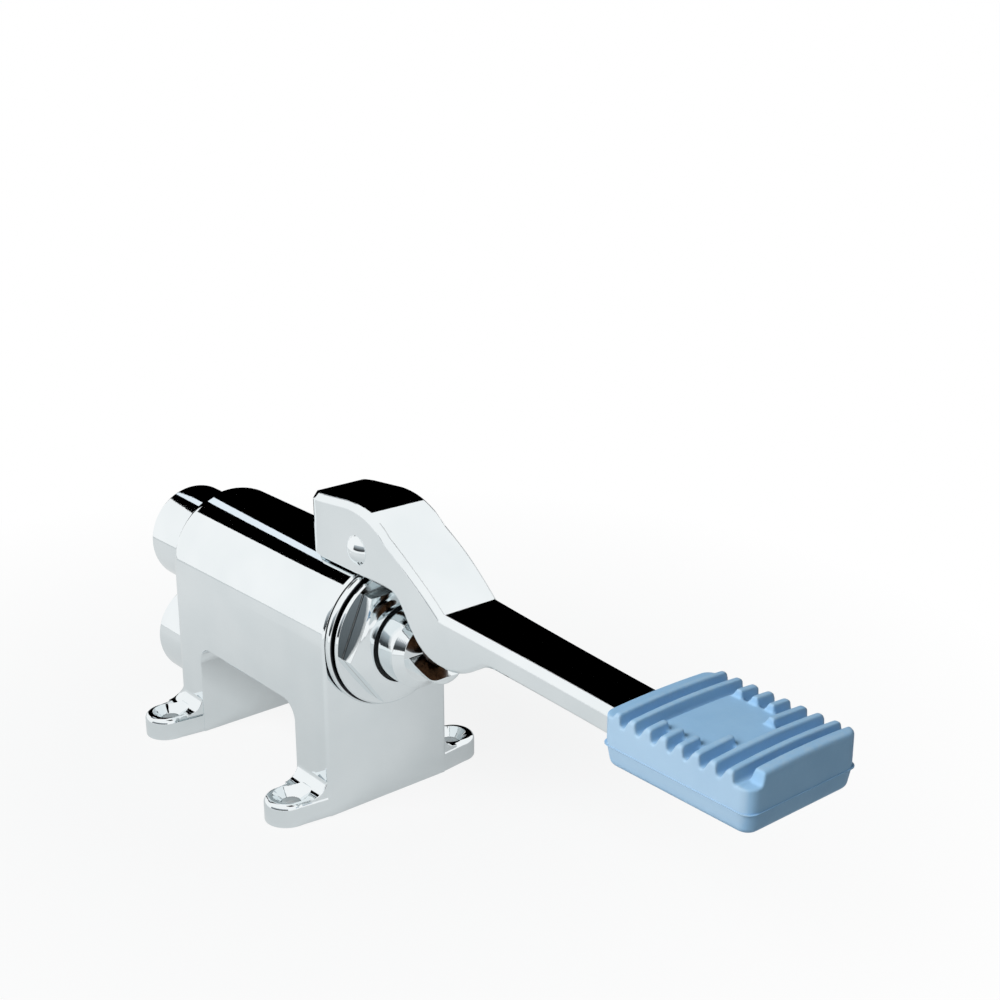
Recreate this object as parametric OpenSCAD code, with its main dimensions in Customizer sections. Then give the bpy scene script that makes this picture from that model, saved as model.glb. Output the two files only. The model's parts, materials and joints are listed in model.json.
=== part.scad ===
// Foot pedal tap valve: a chromed saddle body screwed to the floor, with two water
// ports behind, a sprung plunger in front and a pedal lever that pushes the plunger in.
// Frame: +X forwards to the pedal, +Y across, +Z up, origin on the floor between the four screw holes.

/* [Body] */
// Length of the saddle body, rear face to front face
body_l = 101; // [95:0.5:112]
// Width of the saddle body
body_w = 50; // [47:0.5:56]
// Height of the barrel's axis above the floor
axis_h = 61.6; // [60:0.1:64]
// Thickness of the front and rear walls
wall_t = 19; // [18:0.5:22]
// Height of the arch under the barrel
arch_h = 35; // [28:0.5:37]
// Radius of the arch's upper corners
arch_r = 7; // [3:0.5:10]
// Rounding of the rear edge
rear_round = 6; // [2:0.5:6.5]
// Rounding of the front edge
front_round = 1.2; // [0.6:0.1:2]

/* [Feet] */
// Distance between the screw holes across the body
hole_pitch_y = 68; // [66:0.5:72]
// Radius of a screw hole
hole_r = 3.3; // [2.6:0.1:4]
// Outer radius of a screw hole's countersink
sink_r = 6.2; // [5:0.1:7]
// Thickness of a foot lug
lug_t = 8; // [6:0.5:10]
// How far a foot lug's tip reaches from the body's middle
lug_reach = 43.2; // [42.6:0.1:47]
// Radius of a foot lug's tip
lug_tip_r = 8; // [7:0.1:8.4]
// Rounding of a foot lug's upper edge
lug_round = 2; // [1:0.1:2.4]
// Radius of the fillet between a foot lug and its wall
lug_fillet = 6; // [3:0.5:8]

/* [Ports] */
// Outer radius of a port boss
boss_r = 18.5; // [16:0.5:19]
// Length of a port boss behind the body
boss_l = 25; // [22:0.5:32]
// Height of the lower port's axis above the floor
low_port_h = 22; // [20:0.5:22.5]
// Wall radius of a port's thread
port_r = 9.5; // [9:0.1:10.5]
// Depth of a port's thread
port_depth = 13; // [11:0.5:15]
// Chamfer on a port boss's rim
boss_chamfer = 0.6; // [0.3:0.1:1.5]

/* [Water way] */
// Radius of the chamber in front of the seat
chamber_r = 17; // [16:0.5:18]
// Radius of the chamber round the poppet
poppet_room_r = 13; // [12:0.5:14]
// Thickness of the partition that holds the seat
partition_t = 6.5; // [5:0.5:8]
// Inner radius of the seat
seat_bore_r = 7; // [6.5:0.1:7.4]
// Outer radius of the seat's barrel
seat_r = 11; // [10.6:0.1:11.6]
// Outer radius of the seat's collar
seat_collar_r = 14; // [13:0.5:15.5]
// Thickness of the seat's collar
seat_collar_t = 2; // [1.5:0.1:3]
// Width across of the channel down to the lower port
channel_w = 16; // [12:0.5:18]
// Length along the body of the channel down to the lower port
channel_l = 6; // [4:0.5:7]

/* [Bonnet] */
// Outer radius of the bonnet's flange
flange_r = 25.2; // [24:0.1:25.6]
// Thickness of the bonnet's flange
flange_t = 2.8; // [2.4:0.1:3.4]
// Radius of the ring in front of the flange
ring_r = 24; // [23:0.1:24.4]
// Thickness of the ring in front of the flange
ring_t = 1.8; // [1.4:0.1:2.2]
// Width across flats of the bonnet's hexagon
hex_af = 38; // [36:0.5:40]
// Length of the bonnet's hexagon
hex_l = 6.4; // [5.6:0.1:7]
// Radius of the bonnet's thread in the body
thread_r = 19; // [18.5:0.1:20]
// Length of the bonnet's spigot in the body
spigot_l = 24; // [22:0.5:26]
// Thickness of the gasket under the flange
gasket_t = 0.8; // [0.5:0.1:1.5]
// Radius of the recess in the bonnet's mouth
mouth_r = 14; // [13.6:0.1:15]
// Depth of the bonnet's mouth recess
mouth_depth = 3.6; // [3:0.1:5]

/* [Plunger] */
// Radius of the plunger
plunger_r = 13; // [12:0.1:13.2]
// How far the plunger's rim stands out of the bonnet
plunger_out = 8.7; // [8.5:0.1:11]
// Length of the chamfer on the plunger's rim
rim_l = 2.4; // [1.5:0.1:3]
// Radius of the plunger's front face
face_r = 10; // [9:0.1:10.5]
// Radius of the plunger's nose
nose_r = 8; // [7.5:0.1:8.8]
// Length of the plunger's nose
nose_l = 10; // [9.5:0.1:12]
// Slope of the nose's ramp below the horizontal
ramp_angle = 28; // [26:0.5:32]
// Radius of the stem
stem_r = 4; // [3.6:0.1:4.4]
// Radius of the stem's threaded ends
stem_end_r = 3; // [2.5:0.1:3.2]
// Radius of the poppet
poppet_r = 9.2; // [8.8:0.1:9.3]
// Thickness of the poppet's rubber washer
washer_t = 2.5; // [2:0.1:3]
// Thickness of the poppet's brass holder
holder_t = 3.5; // [3:0.1:4]

/* [Return spring] */
// Mean radius of the return spring
spring_r = 8; // [7.6:0.1:8.4]
// Radius of the spring's wire
wire_r = 0.9; // [0.7:0.1:1]
// Turns of the return spring
spring_turns = 5.5; // [4.5:0.5:6.5]

/* [Pedal lever] */
// Distance of the lever's pivot in front of the body's front face
pivot_out = 2.5; // [0:0.5:3]
// Height of the lever's pivot above the barrel's axis
pivot_up = 32; // [32:0.1:33.5]
// Radius of the pivot pin
pin_r = 3; // [2.5:0.1:3.3]
// Width of the lever
lever_w = 25; // [23:0.5:27]
// Width of the lever's arm at the pad
arm_w = 20.6; // [18:0.2:22]
// Thickness of the lever's arm at the pad
arm_t = 8; // [7:0.1:8.4]
// Step under the arm, in front of which its tongue goes into the pad
tongue_step = 1.2; // [0.6:0.1:1.6]
// Bevel along the lever's upper edges
lever_bevel = 1.9; // [1:0.1:2.5]
// Bevel along the lever's lower edges
lower_bevel = 1.1; // [0.4:0.1:1.4]
// Width of the body's pivot ear
ear_w = 12; // [10:0.5:13]
// Radius of the ear's round end
ear_r = 7; // [6.5:0.1:7.4]
// How far the lever turns when the pedal is pressed, in degrees
pedal_travel = 5.3; // [4:0.1:5.3]
// Radius of the thrust button's ball end
button_r = 6; // [5.5:0.1:6.5]

/* [Pedal pad] */
// Length of the pad
pad_l = 52.3; // [51.5:0.1:58]
// Width of the pad
pad_w = 42; // [38:0.5:46]
// Height of the pad below its ribs
pad_h = 13.8; // [13:0.1:15]
// Height of the pad's ribs
rib_h = 3.6; // [2.6:0.1:4]
// Width of a rib
rib_w = 3.6; // [3:0.1:4.2]
// Distance from rib to rib
rib_pitch = 5.65; // [5.2:0.05:6]
// Width of the bare panel across the middle of the pad
panel_w = 27; // [20:0.5:30]
// Width of the panel's point, through one more rib
point_w = 14; // [8:0.5:18]

/* [Hidden] */
$fn = 72;

// Clearances
run_fit = 0.06;
seat_fit = 0.04;
seat_gap = 0.1;
button_gap = 0.3;
ear_side_gap = 0.5;
ear_round_gap = 0.8;
saddle_gap = 1.2;
flange_gap = 1;
cut = 1;
blend = 0.1;

// Body
front_x = body_l / 2;
rear_x = -front_x;
half_w = body_w / 2;
wall_x = front_x - wall_t / 2;
boss_end_x = rear_x - boss_l;

// Stations along the barrel's axis, from the front
gasket_x = front_x + gasket_t;
flange_x = gasket_x + flange_t;
ring_gap = 0.8;
collar_x = flange_x + ring_gap;
hex_x = collar_x + ring_t;
bonnet_x = hex_x + hex_l;
mouth_x = bonnet_x - mouth_depth;
guide_groove_l = 6;
guide_groove_t = 1.5;
guide_groove_x = mouth_x - 3 - guide_groove_l;
spigot_x = gasket_x - spigot_l;
gland_room_l = 6;
gland_room_r = 9;
web_t = 5;
web_x = spigot_x + gland_room_l;
guide_x = web_x + web_t;
spring_washer_t = 1;
thread_end_x = spigot_x - 2;
rim_x = bonnet_x + plunger_out;
face_x = rim_x + rim_l;
cup_x = face_x - 8.3;
nose_x = face_x + nose_l;
channel_front_x = -front_x + wall_t - 2;
chamber_x = channel_front_x - channel_l;
partition_x = chamber_x - partition_t;
seat_lip = 0.5;
poppet_rim = 0.6;
seat_lip_x = partition_x - seat_lip;
poppet_room_x = boss_end_x + port_depth;
low_passage_r = 8;
low_port_depth = 15;

// Pivot and ramp
pivot_x = front_x + pivot_out;
pivot_z = axis_h + pivot_up;
bush_r = pin_r + 1;
ear_under_z = axis_h + flange_r + flange_gap;
ramp_x = face_x + 0.2;
contact_run = 3;
contact_x = ramp_x + contact_run;
contact_z = axis_h - contact_run * tan(ramp_angle);
button_x = contact_x + (button_r + button_gap) * sin(ramp_angle);
button_z = contact_z + (button_r + button_gap) * cos(ramp_angle);
button_neck = 9;
button_shank_l = 8;
button_shank_r = 4;

// Plunger travel for each radian of the lever, from the ramp and the ball's place
plunger_per_radian = (pivot_z - button_z) + (button_x - pivot_x) / tan(ramp_angle);
plunger_travel = plunger_per_radian * pedal_travel * PI / 180;

// Lever outline, seen from the side, as distances from the pivot
head_back = 28.2;
head_up = 15;
crease_out = 42.5;
crease_down = 9.4;
heel_out = 43.5;
heel_down = 27;
jaw_out = 63;
jaw_down = 19.1;
pad_out = 123.5;
arm_down = 14.2;
lever_half = lever_w / 2;
head_back_x = pivot_x - head_back;
head_top_z = pivot_z + head_up;
cheek_z = axis_h + sqrt(pow(half_w + saddle_gap, 2) - pow(lever_half, 2));
crease = [pivot_x + crease_out, pivot_z - crease_down];
heel_low = [pivot_x + heel_out, pivot_z - heel_down];
heel_end = [pivot_x + jaw_out, pivot_z - jaw_down];
pad_x = pivot_x + pad_out;
arm_h = pivot_z - arm_down;
arm_in_pad = 46;
arm_end_x = pad_x + arm_in_pad;
arm_level_x = pad_x - 0.1;
tongue_t = arm_t - tongue_step;

// Pad
pad_under = 1.9;
pad_z = arm_h - tongue_t - pad_under;
pad_round = 3.2;
pad_tuck = 1.4;
parting_h = 6.4;
parting_t = 0.8;
parting_out = 0.5;
arm_fit = 0.05;
rib_count = 8;
first_rib = 5.9;
lip_l = 4;
panel_first_rib = 2;
point_rib = 5;

echo(plunger_mm_per_radian = plunger_per_radian, plunger_travel_mm = plunger_travel);
echo(pivot_mm = [pivot_x, 0, pivot_z], axis_mm = axis_h, port_mouth_mm = boss_end_x);

// Turns a shape drawn round +Z so that it runs along +X at the barrel's height
module on_axis(height = axis_h) {
    translate([0, 0, height])
        rotate([0, 90, 0])
            children();
}

// A plain round length along X, from x0 to x1
module rod_x(r, x0, x1, height = axis_h) {
    on_axis(height)
        translate([0, 0, x0])
            cylinder(r = r, h = x1 - x0);
}

// A ring along X, from x0 to x1
module ring_x(r_out, r_in, x0, x1) {
    difference() {
        rod_x(r_out, x0, x1);
        rod_x(r_in, x0 - cut, x1 + cut);
    }
}

// A rubber ring round the barrel's axis
module o_ring(r, section_r, x) {
    on_axis()
        translate([0, 0, x])
            rotate_extrude()
                translate([r, 0])
                    circle(r = section_r, $fn = 32);
}

// Turns a side outline drawn in X and Z into a plate of a given width across Y
module plate_y(width) {
    translate([0, width / 2, 0])
        rotate([90, 0, 0])
            linear_extrude(height = width)
                children();
}

// Runs a round shape drawn round +Z along +Y through the pivot
module on_pivot() {
    translate([pivot_x, 0, pivot_z])
        rotate([-90, 0, 0])
            children();
}

// Half of the body's plan: straight side with a rounded rear and front corner
module half_plan() {
    translate([0, rear_x + rear_round])
        square([half_w, body_l - rear_round - front_round]);
    translate([0, rear_x])
        square([half_w - rear_round, body_l]);
    translate([0, front_x - 2 * front_round])
        square([half_w - front_round, 2 * front_round]);
    translate([half_w - rear_round, rear_x + rear_round])
        circle(r = rear_round);
    translate([half_w - front_round, front_x - front_round])
        circle(r = front_round);
}

// The saddle's outer form: a half-round barrel on straight sides
module saddle() {
    on_axis()
        rotate([0, 0, 90])
            rotate_extrude(angle = 180)
                half_plan();
    for (side = [0, 1])
        mirror([0, side, 0])
            rotate([0, 0, -90])
                mirror([1, 0, 0])
                    linear_extrude(height = axis_h)
                        half_plan();
}

// Section of a foot lug from x0 out to x1, top high, with its upper edge rounded
module lug_section(x0, x1, top) {
    translate([x0, 0])
        square([x1 - x0, top - lug_round]);
    translate([x0, 0])
        square([x1 - lug_round - x0, top]);
    intersection() {
        translate([x1 - lug_round, top - lug_round])
            circle(r = lug_round);
        translate([x1 - lug_round - blend, 0])
            square([lug_round + blend, top]);
    }
}

// Section of the hollow fillet between a wall's face and a foot lug, let down where it runs beside its twin
module fillet_section(face, deep, down) {
    translate([0, -down])
        difference() {
            translate([face - deep, lug_t / 2])
                square([deep + lug_fillet - blend, lug_t / 2 + lug_fillet - blend]);
            translate([face + lug_fillet - blend, lug_t + lug_fillet - blend])
                circle(r = lug_fillet);
        }
}

// One foot lug on the +Y side of a wall whose outer corner, to -X, is rounded: a tongue that narrows to
// a round tip, and the fillet that carries it along the wall and round its corner
module foot_lug(corner) {
    tip_in = 0.15;
    tip_up = 0.06;
    overlap = 4;
    fillet_in = 0.3;
    tip_y = lug_reach - lug_tip_r;
    side_r = lug_tip_r - tip_in;
    root_y = half_w - 2 * front_round;
    deep_y = half_w - corner - front_round;
    root_half = wall_t / 2 - blend;
    run = tip_y - root_y;
    lean = acos(side_r / norm([root_half, run])) - atan2(run, root_half);
    fillet_y = half_w + lug_fillet - blend;
    fillet_root = root_half - fillet_in;
    fillet_half = (side_r + (tip_y - fillet_y) * sin(lean)) / cos(lean) - fillet_in;
    corner_x = corner - wall_t / 2;
    for (side = [0, 1])
        mirror([side, 0, 0])
            intersection() {
                translate([0, tip_y, 0])
                    rotate([0, 0, lean])
                        rotate([90, 0, 0])
                            linear_extrude(height = (tip_y - deep_y) / cos(lean) + side_r * tan(lean))
                                lug_section(-overlap, side_r, lug_t - tip_up);
                translate([-root_half, 0, -cut])
                    cube([2 * root_half, lug_reach, lug_t + 2 * cut]);
            }
    translate([0, tip_y, 0])
        rotate_extrude()
            lug_section(0, lug_tip_r, lug_t);
    intersection() {
        union() {
            translate([corner_x, 0, 0])
                rotate([90, 0, 90])
                    linear_extrude(height = wall_t / 2 - corner_x)
                        fillet_section(half_w, 2 * front_round, 0);
            translate([corner_x, half_w - corner, 0])
                rotate_extrude()
                    fillet_section(corner, corner / 2, tip_up);
        }
        linear_extrude(height = lug_t + lug_fillet)
            polygon([[-fillet_root, deep_y], [fillet_root, deep_y], [fillet_root, root_y],
                     [fillet_half, fillet_y], [-fillet_half, fillet_y], [-fillet_root, root_y]]);
    }
}

// The ear on top of the body that the pivot pin goes through
module pivot_ear() {
    ear_root_z = axis_h + half_w - 4;
    ear_back = 13;
    ear_lean = 7;
    top_z = pivot_z + ear_r - blend;
    plate_y(ear_w) {
        translate([pivot_x, pivot_z])
            circle(r = ear_r);
        polygon([[pivot_x - ear_back - ear_lean, ear_root_z], [front_x, ear_root_z], [front_x, ear_under_z],
                 [pivot_x + ear_r - blend, ear_under_z], [pivot_x + ear_r - blend, pivot_z],
                 [pivot_x, top_z], [pivot_x - ear_back, top_z]]);
    }
}

// The arch through the body between its front and rear walls
module arch_outline() {
    half = front_x - wall_t;
    translate([-half, -cut])
        square([2 * half, arch_h - arch_r + cut]);
    translate([-half + arch_r, 0])
        square([2 * (half - arch_r), arch_h]);
    for (side = [-1, 1])
        translate([side * (half - arch_r), arch_h - arch_r])
            circle(r = arch_r);
}

// One port boss, chamfered at its rim
module port_boss(height) {
    on_axis(height)
        rotate_extrude()
            polygon([[0, rear_x + rear_round], [boss_r, rear_x + rear_round],
                     [boss_r, boss_end_x + boss_chamfer], [boss_r - boss_chamfer, boss_end_x],
                     [0, boss_end_x]]);
}

module valve_body() {
    color("gainsboro")
    difference() {
        union() {
            difference() {
                union() {
                    saddle();
                    for (end = [-1, 1])
                        for (side = [0, 1])
                            translate([end * wall_x, 0, 0])
                                mirror([(end + 1) / 2, 0, 0])
                                    mirror([0, side, 0])
                                        foot_lug(end < 0 ? rear_round : front_round);
                }
                plate_y(2 * hole_pitch_y)
                    arch_outline();
            }
            port_boss(axis_h);
            port_boss(low_port_h);
            pivot_ear();
        }
        rod_x(thread_r, thread_end_x, front_x + cut);
        rod_x(chamber_r, chamber_x, thread_end_x + cut);
        rod_x(seat_r, partition_x - cut, chamber_x + cut);
        rod_x(poppet_room_r, poppet_room_x, partition_x);
        rod_x(port_r, boss_end_x - cut, poppet_room_x + cut);
        rod_x(port_r, boss_end_x - cut, boss_end_x + low_port_depth, low_port_h);
        rod_x(low_passage_r, boss_end_x, channel_front_x, low_port_h);
        translate([chamber_x, -channel_w / 2, low_port_h])
            cube([channel_l, channel_w, axis_h - chamber_r / 2 - low_port_h]);
        for (end = [-1, 1])
            for (side = [-1, 1])
                translate([end * wall_x, side * hole_pitch_y / 2, 0]) {
                    translate([0, 0, -cut])
                        cylinder(r = hole_r, h = lug_t + 2 * cut);
                    translate([0, 0, lug_t - (sink_r - hole_r)])
                        cylinder(r1 = hole_r, r2 = sink_r + cut, h = sink_r - hole_r + cut);
                }
        on_pivot()
            translate([0, 0, -ear_w])
                cylinder(r = bush_r + seat_fit, h = 2 * ear_w);
    }
}

// Screwed brass seat with a raised lip for the poppet's washer
module valve_seat() {
    groove_r = seat_r - 2;
    groove_l = 2.4;
    groove_x = (partition_x + chamber_x - groove_l) / 2;
    lip_w = 1.2;
    color("goldenrod")
    on_axis()
        rotate_extrude()
            polygon([[seat_bore_r, seat_lip_x], [seat_bore_r + lip_w, seat_lip_x],
                     [seat_bore_r + 2 * lip_w, partition_x], [seat_r - seat_fit, partition_x],
                     [seat_r - seat_fit, groove_x], [groove_r, groove_x], [groove_r, groove_x + groove_l],
                     [seat_r - seat_fit, groove_x + groove_l], [seat_r - seat_fit, chamber_x],
                     [seat_collar_r, chamber_x], [seat_collar_r, chamber_x + seat_collar_t],
                     [seat_bore_r, chamber_x + seat_collar_t]]);
}

module seat_o_ring() {
    section_r = 0.95;
    color("dimgray")
    o_ring(seat_r - 2 + section_r + seat_fit, section_r, (partition_x + chamber_x) / 2);
}

// Hexagon with its front corners turned down to a cone
module bonnet_hex() {
    corner_r = hex_af / sqrt(3);
    hex_turn = 36;
    chamfer_in = 1.6;
    chamfer_l = 2.2;
    intersection() {
        on_axis()
            translate([0, 0, hex_x - cut])
                rotate([0, 0, hex_turn])
                    cylinder(r = corner_r, h = hex_l + cut, $fn = 6);
        on_axis()
            rotate_extrude()
                polygon([[0, hex_x - cut], [corner_r + cut, hex_x - cut],
                         [corner_r + cut, bonnet_x - chamfer_l], [hex_af / 2 - chamfer_in, bonnet_x],
                         [0, bonnet_x]]);
    }
}

module bonnet() {
    flange_round = 1;
    ring_ease = 0.5;
    ring_floor_r = ring_r - 1.2;
    relief_l = 2.5;
    relief_r = thread_r - 1.4;
    guide_bore_r = plunger_r + run_fit;
    groove_r = guide_bore_r + guide_groove_t;
    spigot_r = thread_r - seat_fit;
    color("silver")
    difference() {
        union() {
            on_axis()
                rotate_extrude() {
                    polygon([[0, spigot_x], [spigot_r - 1, spigot_x], [spigot_r, spigot_x + 1],
                             [spigot_r, gasket_x - relief_l], [relief_r, gasket_x - relief_l],
                             [relief_r, gasket_x], [flange_r, gasket_x], [flange_r, flange_x - flange_round],
                             [flange_r - flange_round, flange_x - flange_round],
                             [flange_r - flange_round, flange_x], [ring_floor_r, flange_x],
                             [ring_floor_r, collar_x], [ring_r - ring_ease, collar_x],
                             [ring_r, collar_x + ring_ease], [ring_r, hex_x - ring_ease],
                             [ring_r - ring_ease, hex_x], [0, hex_x]]);
                    intersection() {
                        translate([flange_r - flange_round, flange_x - flange_round])
                            circle(r = flange_round, $fn = 32);
                        translate([flange_r - flange_round, flange_x - flange_round])
                            square(flange_round);
                    }
                }
            bonnet_hex();
        }
        rod_x(gland_room_r, spigot_x - cut, web_x);
        rod_x(stem_r + run_fit, web_x - cut, guide_x + cut);
        rod_x(guide_bore_r, guide_x, bonnet_x + cut);
        rod_x(mouth_r, mouth_x, bonnet_x + cut);
        rod_x(groove_r, guide_groove_x, guide_groove_x + guide_groove_l);
    }
}

module bonnet_gasket() {
    rim_in = 1.3;
    bore_out = 0.2;
    color("khaki")
    ring_x(flange_r - rim_in, thread_r + bore_out, front_x, gasket_x);
}

// Rubber scraper in the bonnet's mouth
module wiper_ring() {
    wiper_l = 1.8;
    color("black")
    ring_x(mouth_r - seat_fit, plunger_r + run_fit, mouth_x, mouth_x + wiper_l);
}

// Plastic bearing strip that guides the plunger
module guide_ring() {
    end_gap = 0.1;
    back_gap = 0.1;
    back_r = plunger_r + run_fit + guide_groove_t - back_gap;
    ring_end_x = guide_groove_x + guide_groove_l - end_gap;
    color("ivory")
    ring_x(back_r, plunger_r + run_fit / 2, guide_groove_x + end_gap, ring_end_x);
}

module stem_o_ring() {
    section_r = 1.1;
    color("dimgray")
    o_ring(stem_r + run_fit + section_r, section_r, web_x - section_r - seat_fit);
}

// Screwed ring that keeps the stem's seal in its room
module stem_gland() {
    gland_l = 3.2;
    gland_x = spigot_x + 0.3;
    color("goldenrod")
    ring_x(gland_room_r - seat_fit, stem_r + run_fit, gland_x, gland_x + gland_l);
}

module spring_washer() {
    washer_out = 2;
    bore_gap = 0.4;
    color("silver")
    ring_x(spring_r + washer_out, stem_r + bore_gap, guide_x, guide_x + spring_washer_t);
}

spring_side_count = 6;
spring_rings_per_turn = 8;
spring_x0 = guide_x + spring_washer_t + wire_r + seat_fit;
spring_x1 = cup_x - wire_r - seat_fit;
spring_pitch = (spring_x1 - spring_x0) / spring_turns;
spring_steps = spring_turns * spring_rings_per_turn;
spring_lead = atan2(spring_pitch, 2 * PI * spring_r);

// One point on the spring's wire: turn counted in rings, place round the wire in sides
function spring_point(ring, side) =
    let (turn = 360 * ring / spring_rings_per_turn)
    let (around = 360 * side / spring_side_count)
    let (out = spring_r + wire_r * cos(around))
    let (slip = wire_r * sin(around))
    [spring_x0 + spring_pitch * ring / spring_rings_per_turn + slip * cos(spring_lead),
     out * cos(turn) + slip * sin(spring_lead) * sin(turn),
     axis_h + out * sin(turn) - slip * sin(spring_lead) * cos(turn)];

spring_gap = min([for (ring = [0 : spring_steps - spring_rings_per_turn])
    for (side = [0 : spring_side_count - 1])
        for (other = [0 : spring_side_count - 1])
            norm(spring_point(ring, side) - spring_point(ring + spring_rings_per_turn, other))]);
echo(spring_least_gap_mm = spring_gap);

// Compression spring between the bonnet's web and the plunger's cup
module return_spring() {
    last = spring_steps * spring_side_count;
    color("lightsteelblue")
    polyhedron(
        points = [for (ring = [0 : spring_steps])
            for (side = [0 : spring_side_count - 1])
                spring_point(ring, side)],
        faces = concat(
            [[for (side = [0 : spring_side_count - 1]) side]],
            [[for (side = [spring_side_count - 1 : -1 : 0]) last + side]],
            [for (ring = [0 : spring_steps - 1])
                for (side = [0 : spring_side_count - 1])
                    let (a = ring * spring_side_count + side)
                    let (b = ring * spring_side_count + (side + 1) % spring_side_count)
                    [a, a + spring_side_count, b + spring_side_count]],
            [for (ring = [0 : spring_steps - 1])
                for (side = [0 : spring_side_count - 1])
                    let (a = ring * spring_side_count + side)
                    let (b = ring * spring_side_count + (side + 1) % spring_side_count)
                    [a, b + spring_side_count, b]]));
}

// Plain bronze bush in the body's ear
module pivot_bush() {
    color("peru")
    on_pivot()
        difference() {
            translate([0, 0, -ear_w / 2])
                cylinder(r = bush_r, h = ear_w);
            translate([0, 0, -ear_w])
                cylinder(r = pin_r + run_fit, h = 2 * ear_w);
        }
}

// Plunger: a cup over the spring, a chamfered rim, and a nose cut to a ramp
module plunger() {
    cutter_l = 2 * (nose_l + nose_r);
    cutter_w = 2 * (nose_r + cut);
    skirt_x = guide_x + plunger_travel + 1.5;
    skirt_chamfer = 0.5;
    cup_r = spring_r + wire_r + 1.6;
    nose_round = 1.5;
    socket_l = 6.5;
    color("whitesmoke")
    difference() {
        union() {
            on_axis()
                rotate_extrude()
                    polygon([[0, skirt_x], [plunger_r - skirt_chamfer, skirt_x],
                             [plunger_r, skirt_x + skirt_chamfer], [plunger_r, rim_x],
                             [face_r, face_x], [0, face_x]]);
            difference() {
                on_axis()
                    rotate_extrude()
                        union() {
                            translate([0, face_x - cut])
                                square([nose_r, nose_l + cut - nose_round]);
                            translate([0, face_x - cut])
                                square([nose_r - nose_round, nose_l + cut]);
                            translate([nose_r - nose_round, nose_x - nose_round])
                                circle(r = nose_round, $fn = 32);
                        }
                translate([ramp_x, -cutter_w / 2, axis_h])
                    rotate([0, ramp_angle, 0])
                        translate([-cutter_l / 2, 0, 0])
                            cube([cutter_l, cutter_w, nose_l + nose_r]);
            }
        }
        rod_x(cup_r, skirt_x - cut, cup_x);
        rod_x(stem_end_r + seat_fit, cup_x - cut, cup_x + socket_l);
    }
}

// Steel stem from the plunger's cup to the poppet
module stem() {
    front_end_l = 6;
    rear_end_l = washer_t + holder_t + 6;
    shoulder_x = seat_lip_x - seat_gap;
    color("lightgray")
    union() {
        rod_x(stem_r, shoulder_x, cup_x);
        rod_x(stem_end_r, cup_x - cut, cup_x + front_end_l);
        rod_x(stem_end_r, shoulder_x - rear_end_l, shoulder_x + cut);
    }
}

module poppet_washer() {
    face_x = seat_lip_x - seat_gap;
    color("black")
    ring_x(poppet_r - poppet_rim, stem_end_r + seat_fit, face_x - washer_t, face_x);
}

// Brass cup that holds the rubber washer against the seat
module poppet() {
    back_x = seat_lip_x - seat_gap - washer_t;
    rim_h = 1.6;
    edge = 0.8;
    washer_r = poppet_r - poppet_rim + seat_fit;
    color("goldenrod")
    on_axis()
        rotate_extrude()
            polygon([[stem_end_r + seat_fit, back_x - holder_t], [poppet_r - edge, back_x - holder_t],
                     [poppet_r, back_x - holder_t + edge], [poppet_r, back_x + rim_h],
                     [washer_r, back_x + rim_h], [washer_r, back_x], [stem_end_r + seat_fit, back_x]]);
}

module poppet_nut() {
    nut_l = 4.5;
    nut_af = 10;
    nut_x = seat_lip_x - seat_gap - washer_t - holder_t;
    color("goldenrod")
    difference() {
        on_axis()
            translate([0, 0, nut_x - nut_l])
                cylinder(r = nut_af / sqrt(3), h = nut_l, $fn = 6);
        rod_x(stem_end_r + seat_fit, nut_x - nut_l - cut, nut_x + cut);
    }
}

// Points on straight and curved stretches of the lever's outline
function on_line(a, b, t) = a + (b - a) * t;
function on_arc3(a, b, c, t) = on_line(on_line(a, b, t), on_line(b, c, t), t);
function on_arc4(a, b, c, d, t) = on_line(on_arc3(a, b, c, t), on_arc3(b, c, d, t), t);
function steps(count) = [for (i = [0 : count - 1]) i / count];

corner_count = 8;
back_count = 6;
brow_count = 12;
neck_count = 20;
jaw_count = 12;
hollow_count = 5;
arm_count = 6;
head_corner = [head_back_x, head_top_z - 2];
head_corner_r = 3;
brow_start = [pivot_x - 6, head_top_z];
brow_end = [pivot_x + 16, pivot_z + 8.2];
cheek_back = [head_back_x, cheek_z + 7];
cheek_start = [head_back_x + 8, cheek_z];
cheek_end = [pivot_x + 17, cheek_z];
brow_turn = [pivot_x + 7.6, head_top_z + 0.7];
neck_turn = [pivot_x + 30.2, pivot_z + 0.9];
heel_pull = 9;
heel_sweep = 17.5;
jaw_end_turn = heel_end - [7, 4.7];
jaw_stop = heel_end - [3, 2];
hollow_end = heel_end + [3.8, -0.15];
jaw_pull = 7.5;

// Point on top of the arm above a given place along it
function arm_over(x) = on_line(crease, [arm_level_x, arm_h], (x - crease.x) / (arm_level_x - crease.x));

lever_top = concat(
    [for (t = steps(corner_count))
        on_arc3(head_corner - [0, head_corner_r], head_corner, head_corner + [head_corner_r, 0], t)],
    [for (t = steps(back_count)) on_line(head_corner + [head_corner_r, 0], brow_start, t)],
    [for (t = steps(brow_count)) on_arc3(brow_start, brow_turn, brow_end, t)],
    [for (t = steps(neck_count)) on_arc3(brow_end, neck_turn, crease, t)],
    [for (t = steps(jaw_count)) on_line(crease, arm_over(jaw_stop.x), t)],
    [for (t = steps(hollow_count)) on_line(arm_over(jaw_stop.x), arm_over(hollow_end.x), t)],
    [for (t = steps(arm_count)) on_line(arm_over(hollow_end.x), [arm_level_x, arm_h], t)],
    [[arm_level_x, arm_h], [arm_level_x + blend, arm_h], [arm_end_x, arm_h]]);

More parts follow.
